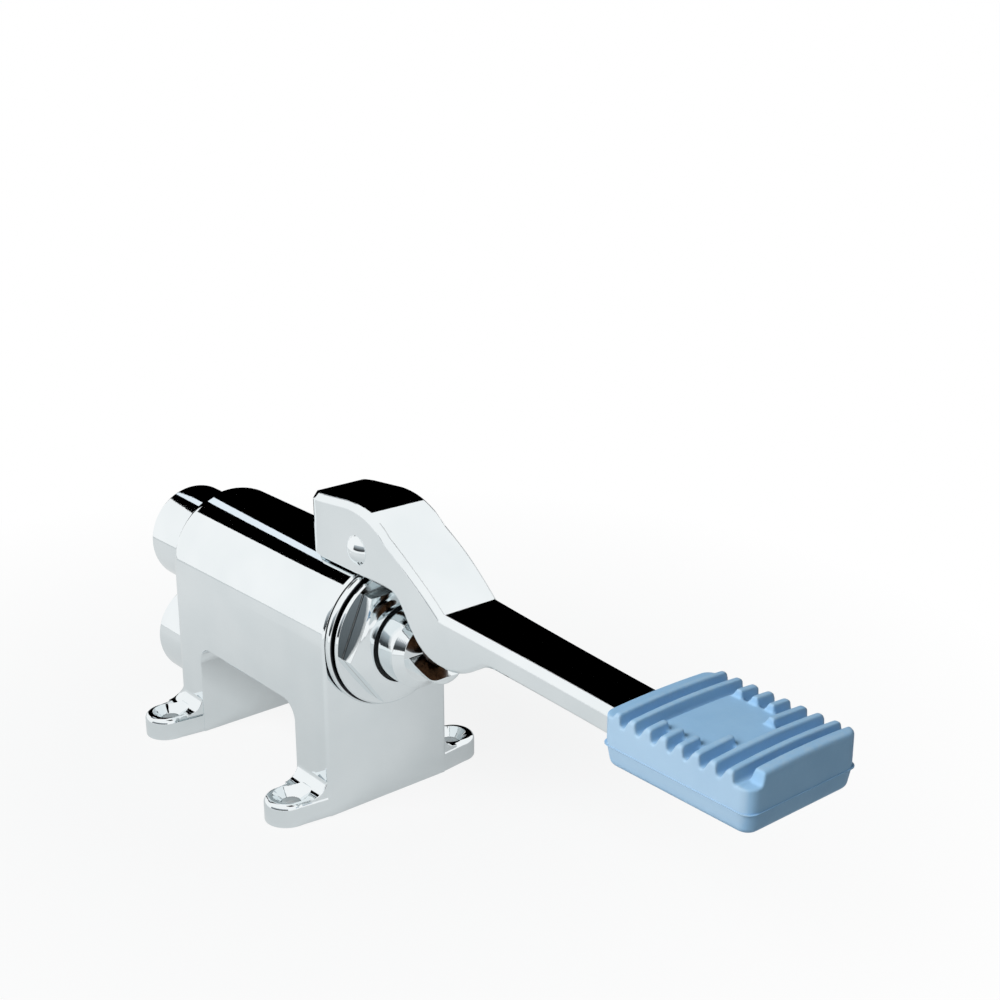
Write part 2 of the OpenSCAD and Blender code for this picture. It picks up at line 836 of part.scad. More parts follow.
lever_under = concat(
    [for (t = steps(corner_count + back_count)) on_arc3(cheek_back, [head_back_x, cheek_z], cheek_start, t)],
    [for (t = steps(brow_count)) on_line(cheek_start, cheek_end, t)],
    [for (t = steps(neck_count))
        on_arc4(cheek_end, cheek_end + [heel_pull, 0], heel_low - [heel_sweep, 0], heel_low, t)],
    [for (t = steps(jaw_count))
        on_arc4(heel_low, heel_low + [jaw_pull, 0], jaw_end_turn, jaw_stop, t)],
    [for (t = steps(hollow_count)) on_arc3(jaw_stop, heel_end, hollow_end, t)],
    [for (t = steps(arm_count)) on_line(hollow_end, [arm_level_x, arm_h - arm_t], t)],
    [[arm_level_x, arm_h - arm_t], [arm_level_x + blend, arm_h - tongue_t], [arm_end_x, arm_h - tongue_t]]);

// Half the lever's width, which is rounded at the back and narrows along the arm from the neck to the pad
narrow_x = pivot_x + 27;
head_round = 5.5;
function half_at(x) =
    let (t = min(max((x - narrow_x) / (arm_level_x - narrow_x), 0), 1))
    let (short = min(max(head_back_x + head_round - x, 0), head_round))
    let (rounded = head_round - sqrt(pow(head_round, 2) - pow(short, 2)))
    lever_half - (lever_half - arm_w / 2) * t * (2 - t) - rounded;

// Direction square to an outline at one of its points, to the left of its run
function square_to(outline, i) =
    let (run = outline[min(i + 1, len(outline) - 1)] - outline[max(i - 1, 0)])
    [-run.y, run.x] / norm(run);

// One section of the lever: eight corners, from the underside round to the top
function lever_section(i) =
    let (top = lever_top[i])
    let (under = lever_under[i])
    let (top_edge = top - lever_bevel * square_to(lever_top, i))
    let (under_edge = under + lower_bevel * square_to(lever_under, i))
    let (top_half = half_at(top.x))
    let (under_half = half_at(under.x))
    [[under.x, -under_half + lower_bevel, under.y], [under.x, under_half - lower_bevel, under.y],
     [under_edge.x, under_half, under_edge.y], [top_edge.x, top_half, top_edge.y],
     [top.x, top_half - lever_bevel, top.y], [top.x, -top_half + lever_bevel, top.y],
     [top_edge.x, -top_half, top_edge.y], [under_edge.x, -under_half, under_edge.y]];

// The lever's casting before it is slotted and drilled
module lever_blank() {
    count = len(lever_top);
    corners = 8;
    last = (count - 1) * corners;
    polyhedron(
        points = [for (i = [0 : count - 1]) for (corner = lever_section(i)) corner],
        faces = concat(
            [[for (k = [corners - 1 : -1 : 0]) k]],
            [[for (k = [0 : corners - 1]) last + k]],
            [for (i = [0 : count - 2])
                for (k = [0 : corners - 1])
                    let (a = i * corners + k)
                    let (b = i * corners + (k + 1) % corners)
                    [a, b, b + corners]],
            [for (i = [0 : count - 2])
                for (k = [0 : corners - 1])
                    let (a = i * corners + k)
                    let (b = i * corners + (k + 1) % corners)
                    [a, b + corners, a + corners]]));
}

// The slot under the lever's head that takes the body's ear
module ear_slot() {
    slot_r = ear_r + ear_round_gap;
    plate_y(ear_w + 2 * ear_side_gap) {
        translate([pivot_x, pivot_z])
            circle(r = slot_r);
        translate([head_back_x - cut, axis_h])
            square([pivot_x - head_back_x + cut, pivot_z + slot_r - blend - axis_h]);
        translate([pivot_x - blend, axis_h])
            square([slot_r, pivot_z - axis_h]);
    }
}

// Places a shape drawn round +Z on the thrust button's own axis, ball end down
module on_button() {
    translate([button_x, 0, button_z])
        rotate([0, ramp_angle, 0])
            children();
}

module lever() {
    saddle_end_x = bonnet_x + 1.4;
    hole_end_gap = 0.4;
    color("white")
    difference() {
        lever_blank();
        ear_slot();
        rod_x(half_w + saddle_gap, head_back_x - cut, saddle_end_x);
        on_pivot()
            translate([0, 0, -lever_w])
                cylinder(r = pin_r + seat_fit, h = 2 * lever_w);
        on_button()
            translate([0, 0, -button_r])
                cylinder(r = button_r + seat_fit, h = button_r + button_neck);
        on_button()
            cylinder(r = button_shank_r + seat_fit, h = button_neck + button_shank_l + hole_end_gap);
    }
}

// Ball-ended bronze button in the lever's heel, which bears on the plunger's ramp
module thrust_button() {
    color("saddlebrown")
    on_button()
        rotate_extrude()
            union() {
                intersection() {
                    circle(r = button_r);
                    translate([0, -button_r])
                        square([button_r, button_r]);
                }
                square([button_r, button_neck]);
                square([button_shank_r, button_neck + button_shank_l]);
            }
}

pin_head_r = 5;
pin_head_l = 2.4;
pin_groove = 0.6;
clip_t = 0.8;
pin_washer_t = 1;
clip_x = lever_half + pin_washer_t + seat_fit;

// Dome-headed pivot pin with a groove for its clip
module pivot_pin() {
    dome_r = (pow(pin_head_r, 2) + pow(pin_head_l, 2)) / (2 * pin_head_l);
    tail = 1.6;
    color("silver")
    on_pivot()
        difference() {
            union() {
                translate([0, 0, -lever_half])
                    cylinder(r = pin_r, h = lever_w + pin_washer_t + clip_t + tail);
                rotate_extrude()
                    intersection() {
                        translate([0, -lever_half - pin_head_l + dome_r])
                            circle(r = dome_r);
                        translate([0, -lever_half - pin_head_l])
                            square([pin_head_r, pin_head_l]);
                    }
            }
            difference() {
                translate([0, 0, clip_x])
                    cylinder(r = pin_r + cut, h = clip_t);
                translate([0, 0, clip_x - cut])
                    cylinder(r = pin_r - pin_groove, h = clip_t + 2 * cut);
            }
        }
}

module pin_washer() {
    washer_r = 5.6;
    color("silver")
    on_pivot()
        difference() {
            translate([0, 0, lever_half])
                cylinder(r = washer_r, h = pin_washer_t);
            cylinder(r = pin_r + seat_fit, h = lever_w);
        }
}

// Open spring clip in the pin's groove
module pin_clip() {
    clip_r = 4.8;
    mouth = 3.4;
    color("dimgray")
    on_pivot()
        translate([0, 0, clip_x + seat_fit / 2])
            linear_extrude(height = clip_t - seat_fit)
                difference() {
                    circle(r = clip_r);
                    circle(r = pin_r - pin_groove + seat_fit);
                    translate([-mouth / 2, 0])
                        square([mouth, 2 * clip_r]);
                }
}

// Rounded rectangle of the pad's plan, drawn in from its edge by a margin
module pad_plan(margin) {
    corner = max(pad_round - margin, 1);
    across = pad_w / 2 - margin;
    translate([margin + corner, -across])
        square([pad_l - 2 * (margin + corner), 2 * across]);
    translate([margin, -across + corner])
        square([pad_l - 2 * margin, 2 * (across - corner)]);
    for (x = [margin + corner, pad_l - margin - corner])
        for (side = [-1, 1])
            translate([x, side * (across - corner)])
                circle(r = corner, $fn = 32);
}

// One rounded rib across the pad, from y0 to y1
module pad_rib(y0, y1) {
    translate([0, y1, 0])
        rotate([90, 0, 0])
            linear_extrude(height = y1 - y0) {
                translate([-rib_w / 2, -cut])
                    square([rib_w, rib_h - rib_w / 2 + cut]);
                translate([0, rib_h - rib_w / 2])
                    circle(r = rib_w / 2, $fn = 24);
            }
}

// Bare width in the middle of a rib: none, the panel's, or the panel's point
function rib_break(i) = i < panel_first_rib || i > point_rib ? 0 : i == point_rib ? point_w : panel_w;

// Moulded rubber pad that slips over the end of the lever's arm
module pedal_pad() {
    across = pad_w / 2 - 0.2;
    back_lip_l = 3.4;
    back_lip_h = 1.7;
    back_edge = 0.5;
    lip_near = pad_w / 2 - 4.5;
    lip_far = pad_w / 2 - 1.8;
    color("lightblue")
    translate([pad_x, 0, pad_z])
        difference() {
            union() {
                linear_extrude(height = pad_h)
                    pad_plan(pad_tuck);
                translate([0, 0, pad_tuck])
                    linear_extrude(height = parting_h - pad_tuck)
                        pad_plan(pad_tuck / 2);
                translate([0, 0, parting_h - parting_t / 2])
                    linear_extrude(height = parting_t)
                        pad_plan(-parting_out);
                translate([0, 0, parting_h])
                    linear_extrude(height = pad_h - parting_h)
                        pad_plan(0);
                for (i = [0 : rib_count - 1])
                    translate([first_rib + i * rib_pitch, 0, pad_h])
                        if (rib_break(i) > 0) {
                            pad_rib(-across, -rib_break(i) / 2);
                            pad_rib(rib_break(i) / 2, across);
                        } else {
                            pad_rib(-across, across);
                        }
                translate([pad_l - lip_l, lip_far, pad_h])
                    rotate([90, 0, 0])
                        linear_extrude(height = lip_near + lip_far) {
                            translate([0, -cut])
                                square([lip_l - blend, rib_h - lip_l / 2 + cut]);
                            translate([lip_l / 2, rib_h - lip_l / 2])
                                circle(r = lip_l / 2 - blend, $fn = 24);
                        }
                translate([0, pad_w / 2 - pad_round, pad_h])
                    rotate([90, 0, 0])
                        linear_extrude(height = pad_w - 2 * pad_round)
                            polygon([[0, -cut], [back_lip_l, -cut], [back_lip_l, back_lip_h],
                                     [back_edge, back_lip_h], [0, back_lip_h - back_edge]]);
            }
            translate([-cut, -arm_w / 2 - arm_fit, pad_under - arm_fit])
                cube([arm_in_pad + cut + arm_fit, arm_w + 2 * arm_fit, tongue_t + 2 * arm_fit]);
        }
}

valve_body();
valve_seat();
seat_o_ring();
bonnet();
bonnet_gasket();
wiper_ring();
guide_ring();
stem_o_ring();
stem_gland();
spring_washer();
return_spring();
pivot_bush();
plunger();
stem();
poppet_washer();
poppet();
poppet_nut();
lever();
thrust_button();
pivot_pin();
pin_washer();
pin_clip();
pedal_pad();
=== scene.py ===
import bpy
import json
import math
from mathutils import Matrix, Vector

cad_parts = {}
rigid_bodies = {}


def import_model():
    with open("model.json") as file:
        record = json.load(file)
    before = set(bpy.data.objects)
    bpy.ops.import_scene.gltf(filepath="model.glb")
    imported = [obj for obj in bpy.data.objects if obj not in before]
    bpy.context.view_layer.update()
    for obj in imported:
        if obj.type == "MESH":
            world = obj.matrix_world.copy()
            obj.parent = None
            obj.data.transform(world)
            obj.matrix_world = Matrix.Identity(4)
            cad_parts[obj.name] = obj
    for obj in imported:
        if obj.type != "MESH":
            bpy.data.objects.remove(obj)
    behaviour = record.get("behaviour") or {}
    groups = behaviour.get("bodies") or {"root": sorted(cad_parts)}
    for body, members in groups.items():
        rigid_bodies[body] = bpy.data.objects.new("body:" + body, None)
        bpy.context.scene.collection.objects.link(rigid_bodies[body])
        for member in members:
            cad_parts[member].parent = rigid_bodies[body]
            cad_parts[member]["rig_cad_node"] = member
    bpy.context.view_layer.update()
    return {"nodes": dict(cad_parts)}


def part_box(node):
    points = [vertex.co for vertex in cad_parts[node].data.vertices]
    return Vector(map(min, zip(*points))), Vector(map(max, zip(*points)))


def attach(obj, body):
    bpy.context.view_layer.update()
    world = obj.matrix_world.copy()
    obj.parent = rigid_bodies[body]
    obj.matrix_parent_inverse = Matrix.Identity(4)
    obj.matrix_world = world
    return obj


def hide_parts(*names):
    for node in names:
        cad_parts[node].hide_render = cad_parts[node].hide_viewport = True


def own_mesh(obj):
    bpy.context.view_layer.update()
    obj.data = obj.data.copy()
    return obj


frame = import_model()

# Valve body: a saddle-shaped brass casting with two pipe bosses behind and four feet.
# Ground, polished and chrome plated. The polish leaves a faint wave in what it mirrors,
# and handling leaves a thin film that only shows as a change of gloss.
plate_dark = (0.825, 0.872, 0.888)
plate_light = (0.872, 0.912, 0.926)
plate_gloss = 0.018


def wire(tree, source, target):
    """Joins two sockets of a material."""
    tree.links.new(source, target)


def new_finish(name):
    """An empty material with its shader and its object coordinates."""
    material = bpy.data.materials.new(name)
    material.use_nodes = True
    tree = material.node_tree
    shader = tree.nodes["Principled BSDF"]
    place = tree.nodes.new("ShaderNodeTexCoord").outputs["Object"]
    return material, tree, shader, place


def noise(tree, place, scale, detail=3.0, rough=0.5):
    """The value of a noise texture that is fixed to the piece."""
    node = tree.nodes.new("ShaderNodeTexNoise")
    node.inputs["Scale"].default_value = scale
    node.inputs["Detail"].default_value = detail
    node.inputs["Roughness"].default_value = rough
    wire(tree, place, node.inputs["Vector"])
    return node.outputs["Fac"]


def lathe_rings(tree, place, scale, waver):
    """The value of fine rings across the long axis, as a lathe's tool leaves them."""
    node = tree.nodes.new("ShaderNodeTexWave")
    node.wave_type = "BANDS"
    node.bands_direction = "X"
    node.inputs["Scale"].default_value = scale
    node.inputs["Distortion"].default_value = waver
    node.inputs["Detail"].default_value = 2.0
    wire(tree, place, node.inputs["Vector"])
    return node.outputs["Fac"]


def spread(tree, value, low, high, start=0.3, end=0.7):
    """A value between start and end, stretched over the numbers from low to high."""
    node = tree.nodes.new("ShaderNodeMapRange")
    node.inputs["From Min"].default_value = start
    node.inputs["From Max"].default_value = end
    node.inputs["To Min"].default_value = low
    node.inputs["To Max"].default_value = high
    wire(tree, value, node.inputs["Value"])
    return node.outputs["Result"]


def shades(tree, value, dark, light, start=0.3, end=0.7):
    """A value between start and end, turned into a run between two colours."""
    node = tree.nodes.new("ShaderNodeValToRGB")
    node.color_ramp.elements[0].position = start
    node.color_ramp.elements[0].color = (*dark, 1)
    node.color_ramp.elements[1].position = end
    node.color_ramp.elements[1].color = (*light, 1)
    wire(tree, value, node.inputs["Fac"])
    return node.outputs["Color"]


def relief(tree, shader, height, depth, strength, below=None):
    """A bump of a given depth, laid over an earlier one if there is one."""
    node = tree.nodes.new("ShaderNodeBump")
    node.inputs["Strength"].default_value = strength
    node.inputs["Distance"].default_value = depth
    wire(tree, height, node.inputs["Height"])
    if below is not None:
        wire(tree, below.outputs["Normal"], node.inputs["Normal"])
    wire(tree, node.outputs["Normal"], shader.inputs["Normal"])
    return node


def chrome(name, wave, film, soft_edge, tool_marks=0.0):
    """Bright chrome plate: wave is the polish's unevenness, film the change of gloss, soft_edge
    the rounding that polishing gives an edge, tool_marks the strength of the lathe's rings."""
    material, tree, shader, place = new_finish(name)
    shader.inputs["Metallic"].default_value = 1.0
    cloud = noise(tree, place, scale=45.0, detail=2.0)
    wire(tree, shades(tree, cloud, plate_dark, plate_light), shader.inputs["Base Color"])
    smear = noise(tree, place, scale=130.0, detail=6.0, rough=0.62)
    gloss = spread(tree, smear, low=plate_gloss, high=plate_gloss + film)
    wire(tree, gloss, shader.inputs["Roughness"])
    edge = tree.nodes.new("ShaderNodeBevel")
    edge.samples = 8
    edge.inputs["Radius"].default_value = soft_edge
    swell = noise(tree, place, scale=38.0, detail=1.0)
    bump = relief(tree, shader, swell, depth=0.0006, strength=wave, below=edge)
    peel = noise(tree, place, scale=420.0, detail=2.0)
    bump = relief(tree, shader, peel, depth=0.00006, strength=wave, below=bump)
    if tool_marks > 0:
        marks = lathe_rings(tree, place, scale=900.0, waver=0.6)
        relief(tree, shader, marks, depth=0.00002, strength=tool_marks, below=bump)
    return material


def dress(node, material):
    """Puts a finish on every material slot of a carried-over node."""
    solid = frame["nodes"][node]
    for slot in solid.material_slots:
        slot.material = material
    if len(solid.material_slots) == 0:
        solid.data.materials.append(material)


dress("valve_body", chrome("cast_chrome", wave=0.10, film=0.030, soft_edge=0.0004))

# Valve seat, stem gland, poppet and poppet nut: turned from brass bar, screwed into place and
# left bare inside the body. The lathe leaves fine rings, and water dulls the metal to brown.


def turned_metal(name, dark, light, gloss, dull):
    """Bare turned bar: two tones of the metal, and fine rings along the bar."""
    material, tree, shader, place = new_finish(name)
    shader.inputs["Metallic"].default_value = 1.0
    stain = noise(tree, place, scale=160.0, detail=5.0, rough=0.6)
    tone = shades(tree, stain, dark, light, start=0.25, end=0.75)
    wire(tree, tone, shader.inputs["Base Color"])
    wire(tree, spread(tree, stain, low=dull, high=gloss), shader.inputs["Roughness"])
    marks = lathe_rings(tree, place, scale=700.0, waver=1.0)
    relief(tree, shader, marks, depth=0.00004, strength=0.35)
    return material


bare_brass = turned_metal("bare_brass", dark=(0.48, 0.31, 0.12), light=(0.72, 0.52, 0.24),
                          gloss=0.20, dull=0.36)
for node in ("valve_seat", "poppet", "poppet_nut", "stem_gland"):
    dress(node, bare_brass)

# Seals: moulded black rubber rings for the seat, the stem and the plunger's mouth, and the
# poppet's washer. The mould's matt skin is greyed by talc.


def black_seal(name):
    """Matt black rubber with a greyish bloom."""
    material, tree, shader, place = new_finish(name)
    bloom = noise(tree, place, scale=320.0, detail=5.0, rough=0.6)
    tone = shades(tree, bloom, dark=(0.008, 0.008, 0.009), light=(0.030, 0.031, 0.033))
    wire(tree, tone, shader.inputs["Base Color"])
    wire(tree, spread(tree, bloom, low=0.42, high=0.62), shader.inputs["Roughness"])
    skin = noise(tree, place, scale=2600.0, detail=2.0)
    relief(tree, shader, skin, depth=0.00004, strength=0.4)
    return material


seal_rubber = black_seal("seal_rubber")
for node in ("seat_o_ring", "stem_o_ring", "wiper_ring", "poppet_washer"):
    dress(node, seal_rubber)

# Bonnet: a flanged hexagon turned from brass bar and chrome plated, screwed into the front.
# The drawn piece is a copy of the solid with its rims rounded over by the polishing wheel. The
# lathe's rings still show under the plate, and painted shade darkens the groove and the seams.
bonnet_low, bonnet_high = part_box("bonnet")
axis_z = (bonnet_low.z + bonnet_high.z) / 2
hex_long = 0.0064
ring_long = 0.0018
ring_r = 0.0240
ring_chamfer = 0.0005
ring_round = 0.00035
groove_long = 0.0008
flange_thick = 0.0028
flange_r = bonnet_high.y
flange_round = 0.0012
hex_foot = bonnet_high.x - hex_long
ring_back = hex_foot - ring_long
flange_front = ring_back - groove_long
flange_back = flange_front - flange_thick
# Painted shade: this colour darkens the groove, the hexagon's foot and the flange's back seam.
shade_colour = (0.020, 0.021, 0.024)
shade_fade = 0.0001
groove_shade = (flange_front - 0.00005, ring_back + 0.0001)
foot_shade = (hex_foot + 0.00012, hex_foot + 0.0005)
seam_shade = (flange_back - 0.0002, flange_back + 0.0004)
hair = 0.00001
rim_play = 0.00005


def smooth_copy(node, name):
    """A new piece in the shape of a solid, with its facets joined, left as the active object.
    It stands for the solid, so it loses the mark that says that it is one."""
    bpy.ops.object.select_all(action="DESELECT")
    solid = frame["nodes"][node]
    solid.select_set(True)
    bpy.context.view_layer.objects.active = solid
    bpy.ops.object.duplicate()
    piece = bpy.context.view_layer.objects.active
    piece.name = name
    piece.parent = None
    del piece["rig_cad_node"]
    bpy.ops.object.mode_set(mode="EDIT")
    bpy.ops.mesh.select_all(action="SELECT")
    bpy.ops.mesh.customdata_custom_splitnormals_clear()
    bpy.ops.mesh.remove_doubles(threshold=hair)
    bpy.ops.object.mode_set(mode="OBJECT")
    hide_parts(node)
    return piece


def plate(piece, finish, crease):
    """Puts one finish all over a piece and shades it smooth up to a crease angle in degrees."""
    bpy.ops.object.mode_set(mode="OBJECT")
    bpy.ops.object.shade_smooth_by_angle(angle=math.radians(crease))
    piece.data.materials.clear()
    piece.data.materials.append(finish)


def pick_nothing(piece):
    """Deselects a whole mesh and leaves it in object mode."""
    bpy.ops.object.mode_set(mode="OBJECT")
    for part in (piece.data.vertices, piece.data.edges, piece.data.polygons):
        part.foreach_set("select", [False] * len(part))


def pick_edges(piece, wanted):
    """Selects the edges of a mesh in edit mode by a test on the places of their two ends."""
    pick_nothing(piece)
    for edge in piece.data.edges:
        a, b = (piece.data.vertices[k].co for k in edge.vertices)
        edge.select = wanted(a, b)
    bpy.ops.object.mode_set(mode="EDIT")
    bpy.ops.mesh.select_mode(type="EDGE")


def round_edges(piece, wanted, offset, segments):
    """Bevels the edges of a mesh that pass a test on the places of their two ends."""
    pick_edges(piece, wanted)
    bpy.ops.mesh.bevel(offset=offset, segments=segments)


def same(a, b):
    """Whether two lengths are one, to a hundredth of a millimetre."""
    return abs(a - b) < hair


def on_rim(a, b, x, r):
    """Whether an edge runs round the bonnet's axis at a place along it and a radius."""
    return all(same(p.x, x) and abs(math.hypot(p.y, p.z - axis_z) - r) < rim_play for p in (a, b))


def axes(tree, place):
    """A place split into its three axes."""
    node = tree.nodes.new("ShaderNodeSeparateXYZ")
    wire(tree, place, node.inputs["Vector"])
    return node.outputs


def combine(tree, operation, first, second):
    """Two values brought together by a sum, a product or a choice of the greater."""
    node = tree.nodes.new("ShaderNodeMath")
    node.operation = operation
    wire(tree, first, node.inputs[0])
    wire(tree, second, node.inputs[1])
    return node.outputs["Value"]


def tint(tree, shader, share, colour):
    """Lays a colour over the one that a shader has already, by a share."""
    node = tree.nodes.new("ShaderNodeMix")
    node.data_type = "RGBA"
    under, over_it, mixed = node.inputs[6], node.inputs[7], node.outputs[2]
    wire(tree, share, node.inputs["Factor"])
    wire(tree, shader.inputs["Base Color"].links[0].from_socket, under)
    over_it.default_value = (*colour, 1)
    wire(tree, mixed, shader.inputs["Base Color"])


def paint_shade_band(material, start, end):
    """Paints shade on a turned piece between two places along its axis, softly at both."""
    tree = material.node_tree
    along = axes(tree, tree.nodes["Texture Coordinate"].outputs["Object"])["X"]
    after = spread(tree, along, low=0.0, high=1.0, start=start - shade_fade, end=start)
    before = spread(tree, along, low=1.0, high=0.0, start=end, end=end + shade_fade)
    tint(tree, tree.nodes["Principled BSDF"], combine(tree, "MULTIPLY", after, before), shade_colour)


bonnet = smooth_copy("bonnet", "polished_bonnet")
bpy.ops.object.mode_set(mode="EDIT")
bpy.ops.mesh.select_all(action="SELECT")
bpy.ops.mesh.dissolve_limited(angle_limit=math.radians(1))
round_edges(bonnet, lambda a, b: on_rim(a, b, flange_back, flange_r), flange_round, segments=5)
round_edges(bonnet, lambda a, b: on_rim(a, b, ring_back + ring_chamfer, ring_r), ring_round,
            segments=4)
turned_chrome = chrome("turned_chrome", wave=0.05, film=0.045, soft_edge=0.0002, tool_marks=0.25)
# Painted shade in the groove, at the hexagon's foot and along the flange's back seam.
for start, end in (groove_shade, foot_shade, seam_shade):
    paint_shade_band(turned_chrome, start, end)
plate(bonnet, turned_chrome, crease=32)
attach(bonnet, "valve")

# Bonnet gasket: a punched ring of compressed graphite fibre, clamped under the bonnet.
# It is set back under the flange's rim, so it reads as a black line.


def pressed_fibre(name):
    """Dark pressed fibre with short strands."""
    material, tree, shader, place = new_finish(name)
    strands = noise(tree, place, scale=900.0, detail=6.0, rough=0.7)
    tone = shades(tree, strands, dark=(0.020, 0.020, 0.019), light=(0.060, 0.057, 0.052))
    wire(tree, tone, shader.inputs["Base Color"])
    wire(tree, spread(tree, strands, low=0.75, high=0.95), shader.inputs["Roughness"])
    relief(tree, shader, strands, depth=0.0001, strength=0.6)
    return material


dress("bonnet_gasket", pressed_fibre("gasket_fibre"))

# Guide ring: a bearing strip in the groove of the bonnet's bore, which keeps the plunger straight.
# It is turned from white acetal rod and has a waxy gloss.


def acetal(name):
    """White engineering plastic with a waxy gloss."""
    material, tree, shader, place = new_finish(name)
    clouds = noise(tree, place, scale=240.0)
    tone = shades(tree, clouds, dark=(0.74, 0.73, 0.68), light=(0.84, 0.83, 0.79))
    wire(tree, tone, shader.inputs["Base Color"])
    wire(tree, spread(tree, clouds, low=0.32, high=0.46), shader.inputs["Roughness"])
    relief(tree, shader, clouds, depth=0.00005, strength=0.3)
    return material


dress("guide_ring", acetal("white_acetal"))

# Return spring, its washer, and the stem: stainless steel wire, stamping and ground rod.
# The spring is wound on a mandrel and stands between its washer and the plunger's cup.
spring_low, spring_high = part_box("return_spring")
wire_r = 0.0009
wire_sides = 14
turns = 5.5
steps_per_turn = 28
end_inset = 0.0008
coil_r = spring_high.y - wire_r
coil_start = spring_low.x + end_inset
coil_end = spring_high.x - end_inset


def drawn_steel(name, direction):
    """Stainless steel with the long scratches of drawing or grinding."""
    material, tree, shader, place = new_finish(name)
    shader.inputs["Metallic"].default_value = 1.0
    stretch = tree.nodes.new("ShaderNodeMapping")
    stretch.inputs["Scale"].default_value = direction
    wire(tree, place, stretch.inputs["Vector"])
    scratch = noise(tree, stretch.outputs["Vector"], scale=900.0, detail=4.0)
    tone = shades(tree, scratch, dark=(0.56, 0.56, 0.55), light=(0.70, 0.70, 0.69))
    wire(tree, tone, shader.inputs["Base Color"])
    wire(tree, spread(tree, scratch, low=0.14, high=0.30), shader.inputs["Roughness"])
    relief(tree, shader, scratch, depth=0.00003, strength=0.2)
    return material


rod_steel = drawn_steel("rod_steel", direction=(0.06, 1.0, 1.0))
for node in ("spring_washer", "stem"):
    dress(node, rod_steel)

bpy.ops.object.select_all(action="DESELECT")
bpy.ops.mesh.primitive_circle_add(vertices=wire_sides, radius=wire_r, location=(0, 0, 0))
spring = bpy.context.view_layer.objects.active
spring.name = "wound_spring"
bpy.ops.object.mode_set(mode="EDIT")
bpy.ops.mesh.select_all(action="SELECT")
bpy.ops.transform.translate(value=(coil_start, coil_r, 0))
bpy.ops.object.mode_set(mode="OBJECT")
spring.location = (0, 0, axis_z)
winding = spring.modifiers.new("winding", "SCREW")
winding.axis = "X"
winding.angle = math.radians(360 * turns)
winding.screw_offset = coil_end - coil_start
winding.steps = round(turns * steps_per_turn)
winding.render_steps = winding.steps
bpy.ops.object.modifier_apply(modifier="winding")
bpy.ops.object.transform_apply(location=True, rotation=True, scale=True)
bpy.ops.object.mode_set(mode="EDIT")
bpy.ops.mesh.select_all(action="SELECT")
bpy.ops.mesh.remove_doubles(threshold=hair)
bpy.ops.mesh.fill_holes(sides=0)
bpy.ops.mesh.select_all(action="SELECT")
bpy.ops.mesh.normals_make_consistent(inside=False)
plate(spring, rod_steel, crease=50)
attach(spring, "valve")
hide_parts("return_spring")
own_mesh(spring)

# Pivot bush: a sintered bronze sleeve pressed into the body's ear, for the pin to turn in.
# Oil in its pores makes the bronze dark.


def oiled_bronze(name, dark, light):
    """Brown bronze with open pores and a film of oil."""
    material, tree, shader, place = new_finish(name)
    shader.inputs["Metallic"].default_value = 1.0
    pores = noise(tree, place, scale=700.0, detail=5.0, rough=0.65)
    wire(tree, shades(tree, pores, dark, light), shader.inputs["Base Color"])
    wire(tree, spread(tree, pores, low=0.24, high=0.44), shader.inputs["Roughness"])
    relief(tree, shader, pores, depth=0.00006, strength=0.4)
    return material


dress("pivot_bush", oiled_bronze("bush_bronze", dark=(0.22, 0.11, 0.05), light=(0.46, 0.27, 0.13)))

# Plunger: a turned and plated brass piston that slides in the bonnet, with a chamfered rim.
# Its rounded nose is filed to a ramp on top, which the lever's button presses.
dress("plunger", chrome("nose_chrome", wave=0.04, film=0.040, soft_edge=0.0002, tool_marks=0.15))

# Lever: a brass forging, ground to crisp bevels along its upper edges, polished and plated.
# The drawn piece is a copy of the solid with its joined facets shaded as one polished skin.
lever = smooth_copy("lever", "polished_lever")
plate(lever, chrome("lever_chrome", wave=0.07, film=0.030, soft_edge=0.0008), crease=24)
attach(lever, "pedal")

# Thrust button: a ball-ended bronze plug pressed into the lever's heel, which slides on the
# plunger's ramp. Its bronze brown is darkened almost to black as painted shade under the heel.
button_dark_painted_shade = (0.018, 0.008, 0.004)
button_light_painted_shade = (0.075, 0.036, 0.018)
dress("thrust_button", oiled_bronze("button_bronze", button_dark_painted_shade, button_light_painted_shade))

# Pivot pin, washer and clip: a turned and plated pin with a domed and polished head goes through
# the lever's cheeks and the bush. A washer and a spring clip of bare steel hold its far end.
dress("pivot_pin", chrome("pin_chrome", wave=0.05, film=0.035, soft_edge=0.0002))
pin_steel = drawn_steel("pin_steel", direction=(1.0, 0.06, 1.0))
for node in ("pin_washer", "pin_clip"):
    dress(node, pin_steel)

# Pedal pad: one block of moulded blue rubber, stretched over the end of the lever's arm.
# Eight ribs run across its crowned top, four of them broken for a bare panel, with a lip along
# the front, a lower ledge behind, and a thin flash where the two halves of the mould met.
pad_low, pad_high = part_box("pedal_pad")
crown = 0.0008
corner = 0.0040
foot_round = 0.0024
brow_round = 0.0011
foot_draft = (0.978, 0.972, 1)
parting_up = 0.0064
flash_out = 0.0005
flash_seen = flash_out * 0.5
flash_thick = 0.00020
flash_corner = 0.0033
rib_tall = 0.0036
rib_crest = 0.0010
rib_pitch = 0.00565
rib_count = 8
first_rib = 0.0059
channel_foot = 0.0013
steep = 0.0006
ledge_run = 0.0012
ledge_tall = 0.0019
lip_long = 0.0032
lip_near = 0.0165
lip_slope = 0.0010
panel_wide = 0.0270
panel_narrow = 0.0140
panel_draft = 0.0008
panel_up = 0.0012
panel_lap = 0.0010
panel_tuck = 0.0005
mould_detail = 0.00036
over = 0.0010
tongue_half = 0.01035
tongue_under = 0.07255
tongue_top = 0.07945
tongue_play = 0.00005
tongue_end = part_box("lever")[1].x + tongue_play
top_bevel = 0.0019
under_bevel = 0.0011
pad_back = pad_low.x + flash_out
pad_front = pad_high.x - flash_out
pad_half = pad_high.y - flash_out
pad_under = pad_low.z
crest = pad_high.z - crown / 2
pad_top = crest - rib_tall
parting = pad_under + parting_up
reach = pad_half + over


